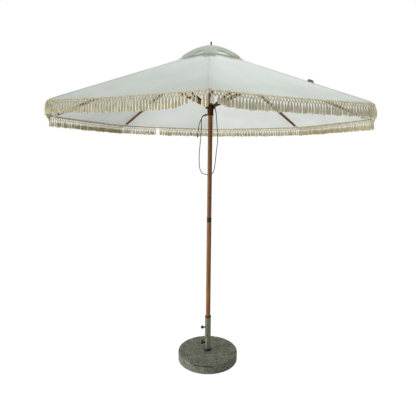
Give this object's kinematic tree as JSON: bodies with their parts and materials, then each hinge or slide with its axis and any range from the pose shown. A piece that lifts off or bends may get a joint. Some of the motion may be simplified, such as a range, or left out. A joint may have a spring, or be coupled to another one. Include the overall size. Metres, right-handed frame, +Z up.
{
  "type": "beach umbrella",
  "caption": "Folding beach or patio umbrella: vented cloth canopy with knotted fringe on wooden ribs, stretchers and runner, two-piece pole and round stone base with clamp tube.",
  "frame": {"origin": "on the floor under the pole axis, at the middle of the base underside", "axes": "+Z up along the pole, -Y towards the first rib and the picture camera, +X to the right of the picture"},
  "size_m": [2.5422, 2.5422, 2.5816],
  "materials": {
    "granite": "flamed grey granite, matt",
    "tube_steel": "galvanised, slightly dull",
    "collar_plastic": "matt",
    "knob_plastic": "matt",
    "pole_wood": "oiled hardwood",
    "rib_wood": "oiled hardwood, darker",
    "hub_wood": "turned and stained",
    "dark_metal": "blackened",
    "canopy_cloth": "woven, slightly translucent",
    "fringe_yarn": "knotted cotton",
    "cord": "braided",
    "strap_cloth": "webbing"
  },
  "bodies": {
    "base": {"base_slab": "granite", "base_tube": "tube_steel", "tube_collar": "collar_plastic"},
    "lower_pole": {"lower_pole": "pole_wood", "joint_ferrule": "dark_metal"},
    "upper_pole": {"upper_pole": "rib_wood", "top_hub": "hub_wood", "top_hub_ring": "tube_steel", "finial": "hub_wood", "vent_cap": "canopy_cloth", "pulley_axle": "tube_steel"},
    "runner": {"runner": "hub_wood", "runner_ring": "tube_steel", "cord_peg": "hub_wood", "pull_cord": "cord", "cord_tail": "cord"},
    "pulley": {"pulley": "tube_steel"},
    "clamp_screw_upper": {"clamp_screw_upper": "knob_plastic"},
    "clamp_screw_lower": {"clamp_screw_lower": "knob_plastic"},
    "rib_1": {"rib_1": "rib_wood", "rib_bracket_1": "dark_metal"},
    "stretcher_1": {"stretcher_1": "rib_wood"},
    "canopy_panel_1": {"canopy_panel_1": "canopy_cloth"},
    "fringe_1": {"fringe_1": "fringe_yarn"},
    "rib_2": {"rib_2": "rib_wood", "rib_bracket_2": "dark_metal", "tie_strap": "strap_cloth"},
    "stretcher_2": {"stretcher_2": "rib_wood"},
    "canopy_panel_2": {"canopy_panel_2": "canopy_cloth"},
    "fringe_2": {"fringe_2": "fringe_yarn"},
    "rib_3": {"rib_3": "rib_wood", "rib_bracket_3": "dark_metal"},
    "stretcher_3": {"stretcher_3": "rib_wood"},
    "canopy_panel_3": {"canopy_panel_3": "canopy_cloth"},
    "fringe_3": {"fringe_3": "fringe_yarn"},
    "rib_4": {"rib_4": "rib_wood", "rib_bracket_4": "dark_metal"},
    "stretcher_4": {"stretcher_4": "rib_wood"},
    "canopy_panel_4": {"canopy_panel_4": "canopy_cloth"},
    "fringe_4": {"fringe_4": "fringe_yarn"},
    "rib_5": {"rib_5": "rib_wood", "rib_bracket_5": "dark_metal"},
    "stretcher_5": {"stretcher_5": "rib_wood"},
    "canopy_panel_5": {"canopy_panel_5": "canopy_cloth"},
    "fringe_5": {"fringe_5": "fringe_yarn"},
    "rib_6": {"rib_6": "rib_wood", "rib_bracket_6": "dark_metal"},
    "stretcher_6": {"stretcher_6": "rib_wood"},
    "canopy_panel_6": {"canopy_panel_6": "canopy_cloth"},
    "fringe_6": {"fringe_6": "fringe_yarn"},
    "rib_7": {"rib_7": "rib_wood", "rib_bracket_7": "dark_metal"},
    "stretcher_7": {"stretcher_7": "rib_wood"},
    "canopy_panel_7": {"canopy_panel_7": "canopy_cloth"},
    "fringe_7": {"fringe_7": "fringe_yarn"},
    "rib_8": {"rib_8": "rib_wood", "rib_bracket_8": "dark_metal"},
    "stretcher_8": {"stretcher_8": "rib_wood"},
    "canopy_panel_8": {"canopy_panel_8": "canopy_cloth"},
    "fringe_8": {"fringe_8": "fringe_yarn"}
  },
  "joints": [
    {"name": "pole_swivel", "type": "hinge", "parent": "base", "child": "lower_pole", "pos_m": [0, 0, 0.2], "axis": [0, 0, 1], "continuous": true},
    {"name": "pole_lift", "type": "slide", "parent": "lower_pole", "child": "upper_pole", "axis": [0, 0, 1], "range_m": [0, 0.08]},
    {"name": "canopy_fold", "type": "hinge", "parent": "upper_pole", "child": "rib_1", "pos_m": [0, -0.031, 2.49434], "axis": [1, 0, 0], "range_deg": [0, 63.2], "deforming": ["canopy_panel_1", "canopy_panel_2", "canopy_panel_3", "canopy_panel_4", "canopy_panel_5", "canopy_panel_6", "canopy_panel_7", "canopy_panel_8", "fringe_1", "fringe_2", "fringe_3", "fringe_4", "fringe_5", "fringe_6", "fringe_7", "fringe_8", "vent_cap"]},
    {"name": "stretcher_1_hinge", "type": "hinge", "parent": "rib_1", "child": "stretcher_1", "pos_m": [0, -0.44771, 2.29751], "axis": [1, 0, 0], "range_deg": [-126.4, 0]},
    {"name": "canopy_panel_1_fold", "type": "hinge", "parent": "upper_pole", "child": "canopy_panel_1", "pos_m": [0, 0, 2.42634], "axis": [0.9239, 0.3827, 0], "range_deg": [0, 63.2]},
    {"name": "fringe_1_hang", "type": "hinge", "parent": "canopy_panel_1", "child": "fringe_1", "pos_m": [0.44194, -1.06694, 2.019], "axis": [0.9239, 0.3827, 0], "range_deg": [-63.2, 0]},
    {"name": "rib_2_hinge", "type": "hinge", "parent": "upper_pole", "child": "rib_2", "pos_m": [0.02192, -0.02192, 2.49434], "axis": [0.7071, 0.7071, 0], "range_deg": [0, 63.2]},
    {"name": "stretcher_2_hinge", "type": "hinge", "parent": "rib_2", "child": "stretcher_2", "pos_m": [0.31657, -0.31657, 2.29751], "axis": [0.7071, 0.7071, 0], "range_deg": [-126.4, 0]},
    {"name": "canopy_panel_2_fold", "type": "hinge", "parent": "upper_pole", "child": "canopy_panel_2", "pos_m": [0, 0, 2.42634], "axis": [0.3827, 0.9239, 0], "range_deg": [0, 63.2]},
    {"name": "fringe_2_hang", "type": "hinge", "parent": "canopy_panel_2", "child": "fringe_2", "pos_m": [1.06694, -0.44194, 2.019], "axis": [0.3827, 0.9239, 0], "range_deg": [-63.2, 0]},
    {"name": "rib_3_hinge", "type": "hinge", "parent": "upper_pole", "child": "rib_3", "pos_m": [0.031, 0, 2.49434], "axis": [0, 1, 0], "range_deg": [0, 63.2]},
    {"name": "stretcher_3_hinge", "type": "hinge", "parent": "rib_3", "child": "stretcher_3", "pos_m": [0.44771, 0, 2.29751], "axis": [0, 1, 0], "range_deg": [-126.4, 0]},
    {"name": "canopy_panel_3_fold", "type": "hinge", "parent": "upper_pole", "child": "canopy_panel_3", "pos_m": [0, 0, 2.42634], "axis": [-0.3827, 0.9239, 0], "range_deg": [0, 63.2]},
    {"name": "fringe_3_hang", "type": "hinge", "parent": "canopy_panel_3", "child": "fringe_3", "pos_m": [1.06694, 0.44194, 2.019], "axis": [-0.3827, 0.9239, 0], "range_deg": [-63.2, 0]},
    {"name": "rib_4_hinge", "type": "hinge", "parent": "upper_pole", "child": "rib_4", "pos_m": [0.02192, 0.02192, 2.49434], "axis": [-0.7071, 0.7071, 0], "range_deg": [0, 63.2]},
    {"name": "stretcher_4_hinge", "type": "hinge", "parent": "rib_4", "child": "stretcher_4", "pos_m": [0.31657, 0.31657, 2.29751], "axis": [-0.7071, 0.7071, 0], "range_deg": [-126.4, 0]},
    {"name": "canopy_panel_4_fold", "type": "hinge", "parent": "upper_pole", "child": "canopy_panel_4", "pos_m": [0, 0, 2.42634], "axis": [-0.9239, 0.3827, 0], "range_deg": [0, 63.2]},
    {"name": "fringe_4_hang", "type": "hinge", "parent": "canopy_panel_4", "child": "fringe_4", "pos_m": [0.44194, 1.06694, 2.019], "axis": [-0.9239, 0.3827, 0], "range_deg": [-63.2, 0]},
    {"name": "rib_5_hinge", "type": "hinge", "parent": "upper_pole", "child": "rib_5", "pos_m": [0, 0.031, 2.49434], "axis": [-1, 0, 0], "range_deg": [0, 63.2]},
    {"name": "stretcher_5_hinge", "type": "hinge", "parent": "rib_5", "child": "stretcher_5", "pos_m": [0, 0.44771, 2.29751], "axis": [-1, 0, 0], "range_deg": [-126.4, 0]},
    {"name": "canopy_panel_5_fold", "type": "hinge", "parent": "upper_pole", "child": "canopy_panel_5", "pos_m": [0, 0, 2.42634], "axis": [-0.9239, -0.3827, 0], "range_deg": [0, 63.2]},
    {"name": "fringe_5_hang", "type": "hinge", "parent": "canopy_panel_5", "child": "fringe_5", "pos_m": [-0.44194, 1.06694, 2.019], "axis": [-0.9239, -0.3827, 0], "range_deg": [-63.2, 0]},
    {"name": "rib_6_hinge", "type": "hinge", "parent": "upper_pole", "child": "rib_6", "pos_m": [-0.02192, 0.02192, 2.49434], "axis": [-0.7071, -0.7071, 0], "range_deg": [0, 63.2]},
    {"name": "stretcher_6_hinge", "type": "hinge", "parent": "rib_6", "child": "stretcher_6", "pos_m": [-0.31657, 0.31657, 2.29751], "axis": [-0.7071, -0.7071, 0], "range_deg": [-126.4, 0]},
    {"name": "canopy_panel_6_fold", "type": "hinge", "parent": "upper_pole", "child": "canopy_panel_6", "pos_m": [0, 0, 2.42634], "axis": [-0.3827, -0.9239, 0], "range_deg": [0, 63.2]},
    {"name": "fringe_6_hang", "type": "hinge", "parent": "canopy_panel_6", "child": "fringe_6", "pos_m": [-1.06694, 0.44194, 2.019], "axis": [-0.3827, -0.9239, 0], "range_deg": [-63.2, 0]},
    {"name": "rib_7_hinge", "type": "hinge", "parent": "upper_pole", "child": "rib_7", "pos_m": [-0.031, 0, 2.49434], "axis": [0, -1, 0], "range_deg": [0, 63.2]},
    {"name": "stretcher_7_hinge", "type": "hinge", "parent": "rib_7", "child": "stretcher_7", "pos_m": [-0.44771, 0, 2.29751], "axis": [0, -1, 0], "range_deg": [-126.4, 0]},
    {"name": "canopy_panel_7_fold", "type": "hinge", "parent": "upper_pole", "child": "canopy_panel_7", "pos_m": [0, 0, 2.42634], "axis": [0.3827, -0.9239, 0], "range_deg": [0, 63.2]},
    {"name": "fringe_7_hang", "type": "hinge", "parent": "canopy_panel_7", "child": "fringe_7", "pos_m": [-1.06694, -0.44194, 2.019], "axis": [0.3827, -0.9239, 0], "range_deg": [-63.2, 0]},
    {"name": "rib_8_hinge", "type": "hinge", "parent": "upper_pole", "child": "rib_8", "pos_m": [-0.02192, -0.02192, 2.49434], "axis": [0.7071, -0.7071, 0], "range_deg": [0, 63.2]},
    {"name": "stretcher_8_hinge", "type": "hinge", "parent": "rib_8", "child": "stretcher_8", "pos_m": [-0.31657, -0.31657, 2.29751], "axis": [0.7071, -0.7071, 0], "range_deg": [-126.4, 0]},
    {"name": "canopy_panel_8_fold", "type": "hinge", "parent": "upper_pole", "child": "canopy_panel_8", "pos_m": [0, 0, 2.42634], "axis": [0.9239, -0.3827, 0], "range_deg": [0, 63.2]},
    {"name": "fringe_8_hang", "type": "hinge", "parent": "canopy_panel_8", "child": "fringe_8", "pos_m": [-0.44194, -1.06694, 2.019], "axis": [0.9239, -0.3827, 0], "range_deg": [-63.2, 0]},
    {"name": "runner_pivot", "type": "hinge", "parent": "stretcher_1", "child": "runner", "pos_m": [0, -0.031, 2.10069], "axis": [1, 0, 0], "range_deg": [0, 63.2]},
    {"name": "pulley_turn", "type": "hinge", "parent": "upper_pole", "child": "pulley", "pos_m": [0, 0, 2.44234], "axis": [0, 1, 0], "continuous": true},
    {"name": "upper_clamp_turn", "type": "hinge", "parent": "base", "child": "clamp_screw_upper", "pos_m": [-0.04, 0, 0.277], "axis": [1, 0, 0], "continuous": true},
    {"name": "lower_clamp_turn", "type": "hinge", "parent": "base", "child": "clamp_screw_lower", "pos_m": [-0.04, 0, 0.142], "axis": [1, 0, 0], "continuous": true}
  ],
  "couplings": [
    {"joint": "stretcher_1_hinge", "follows": "canopy_fold", "ratio": -2},
    {"joint": "canopy_panel_1_fold", "follows": "canopy_fold", "ratio": 1},
    {"joint": "fringe_1_hang", "follows": "canopy_fold", "ratio": -1},
    {"joint": "rib_2_hinge", "follows": "canopy_fold", "ratio": 1},
    {"joint": "stretcher_2_hinge", "follows": "canopy_fold", "ratio": -2},
    {"joint": "canopy_panel_2_fold", "follows": "canopy_fold", "ratio": 1},
    {"joint": "fringe_2_hang", "follows": "canopy_fold", "ratio": -1},
    {"joint": "rib_3_hinge", "follows": "canopy_fold", "ratio": 1},
    {"joint": "stretcher_3_hinge", "follows": "canopy_fold", "ratio": -2},
    {"joint": "canopy_panel_3_fold", "follows": "canopy_fold", "ratio": 1},
    {"joint": "fringe_3_hang", "follows": "canopy_fold", "ratio": -1},
    {"joint": "rib_4_hinge", "follows": "canopy_fold", "ratio": 1},
    {"joint": "stretcher_4_hinge", "follows": "canopy_fold", "ratio": -2},
    {"joint": "canopy_panel_4_fold", "follows": "canopy_fold", "ratio": 1},
    {"joint": "fringe_4_hang", "follows": "canopy_fold", "ratio": -1},
    {"joint": "rib_5_hinge", "follows": "canopy_fold", "ratio": 1},
    {"joint": "stretcher_5_hinge", "follows": "canopy_fold", "ratio": -2},
    {"joint": "canopy_panel_5_fold", "follows": "canopy_fold", "ratio": 1},
    {"joint": "fringe_5_hang", "follows": "canopy_fold", "ratio": -1},
    {"joint": "rib_6_hinge", "follows": "canopy_fold", "ratio": 1},
    {"joint": "stretcher_6_hinge", "follows": "canopy_fold", "ratio": -2},
    {"joint": "canopy_panel_6_fold", "follows": "canopy_fold", "ratio": 1},
    {"joint": "fringe_6_hang", "follows": "canopy_fold", "ratio": -1},
    {"joint": "rib_7_hinge", "follows": "canopy_fold", "ratio": 1},
    {"joint": "stretcher_7_hinge", "follows": "canopy_fold", "ratio": -2},
    {"joint": "canopy_panel_7_fold", "follows": "canopy_fold", "ratio": 1},
    {"joint": "fringe_7_hang", "follows": "canopy_fold", "ratio": -1},
    {"joint": "rib_8_hinge", "follows": "canopy_fold", "ratio": 1},
    {"joint": "stretcher_8_hinge", "follows": "canopy_fold", "ratio": -2},
    {"joint": "canopy_panel_8_fold", "follows": "canopy_fold", "ratio": 1},
    {"joint": "fringe_8_hang", "follows": "canopy_fold", "ratio": -1},
    {"joint": "runner_pivot", "follows": "canopy_fold", "ratio": 1}
  ]
}
